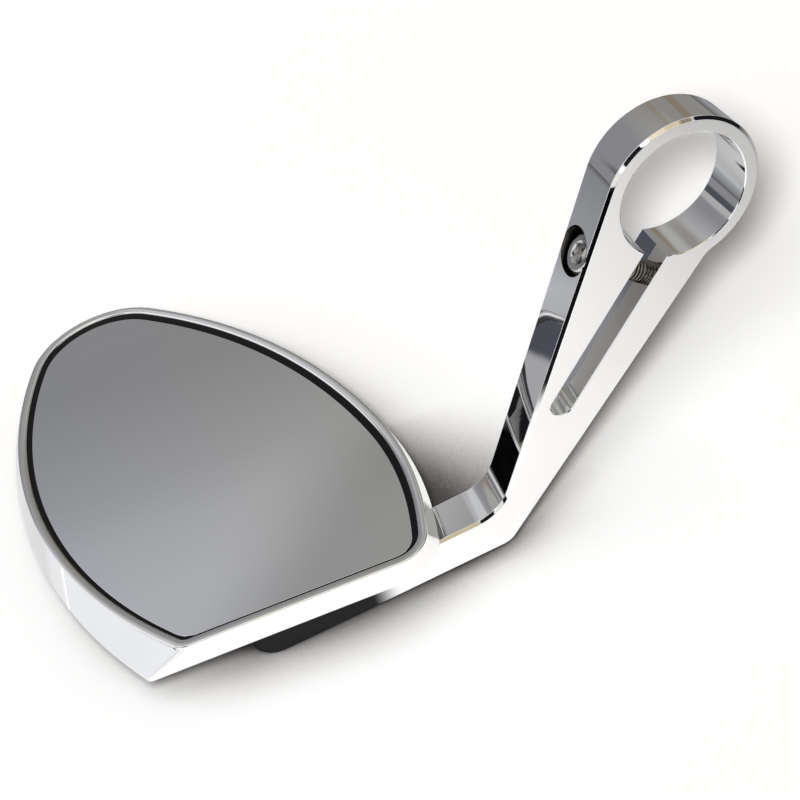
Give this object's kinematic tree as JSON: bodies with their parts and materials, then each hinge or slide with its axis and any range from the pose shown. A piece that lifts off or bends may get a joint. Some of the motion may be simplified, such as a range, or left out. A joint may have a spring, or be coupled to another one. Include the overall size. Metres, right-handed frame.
{
  "type": "motorcycle clamp-on mirror",
  "caption": "Slim polished mirror head with a flat side, carried on a ball joint by a flat cranked arm that ends in a split clamp ring for a handlebar.",
  "frame": {"origin": "centre of the clamp bore, in the middle of the arm plate's thickness", "axes": "+Y along the bar, from the flat side of the head towards its tip; +Z along the normal of the glass; +X from the head towards the clamp"},
  "size_m": [0.1695, 0.1281, 0.0987],
  "materials": {
    "polished_alloy": "polished",
    "plated_steel": "bright zinc plated",
    "steel": "plain turned steel",
    "nylon": "natural nylon",
    "foam": "black adhesive foam",
    "mirror_glass": "silvered glass",
    "black_seal": "black sealant"
  },
  "bodies": {
    "arm": {"clamp_arm": "polished_alloy", "clamp_screw": "plated_steel", "friction_washer": "nylon"},
    "stud": {"ball_stud": "steel", "stud_washer": "steel", "stud_screw": "steel"},
    "seat": {"ball_liner": "nylon"},
    "head": {"housing": "polished_alloy", "pressure_cap": "steel", "disc_spring": "steel", "socket_plate": "steel", "plate_screws": "steel", "backing_pad": "foam", "mirror_glass": "mirror_glass", "glass_seal": "black_seal"}
  },
  "joints": [
    {"name": "head_swivel", "type": "hinge", "parent": "arm", "child": "stud", "pos_m": [-0.10469, 0, -0.06564], "axis": [-0.1236, 0, 0.9923], "range_deg": [-20, 20]},
    {"name": "head_rock", "type": "hinge", "parent": "stud", "child": "seat", "pos_m": [-0.10469, 0, -0.06564], "axis": [0, 1, 0], "range_deg": [-16.1, 1.9]},
    {"name": "head_nod", "type": "hinge", "parent": "seat", "child": "head", "pos_m": [-0.10469, 0, -0.06564], "axis": [1, 0, 0], "range_deg": [-9, 9]}
  ]
}
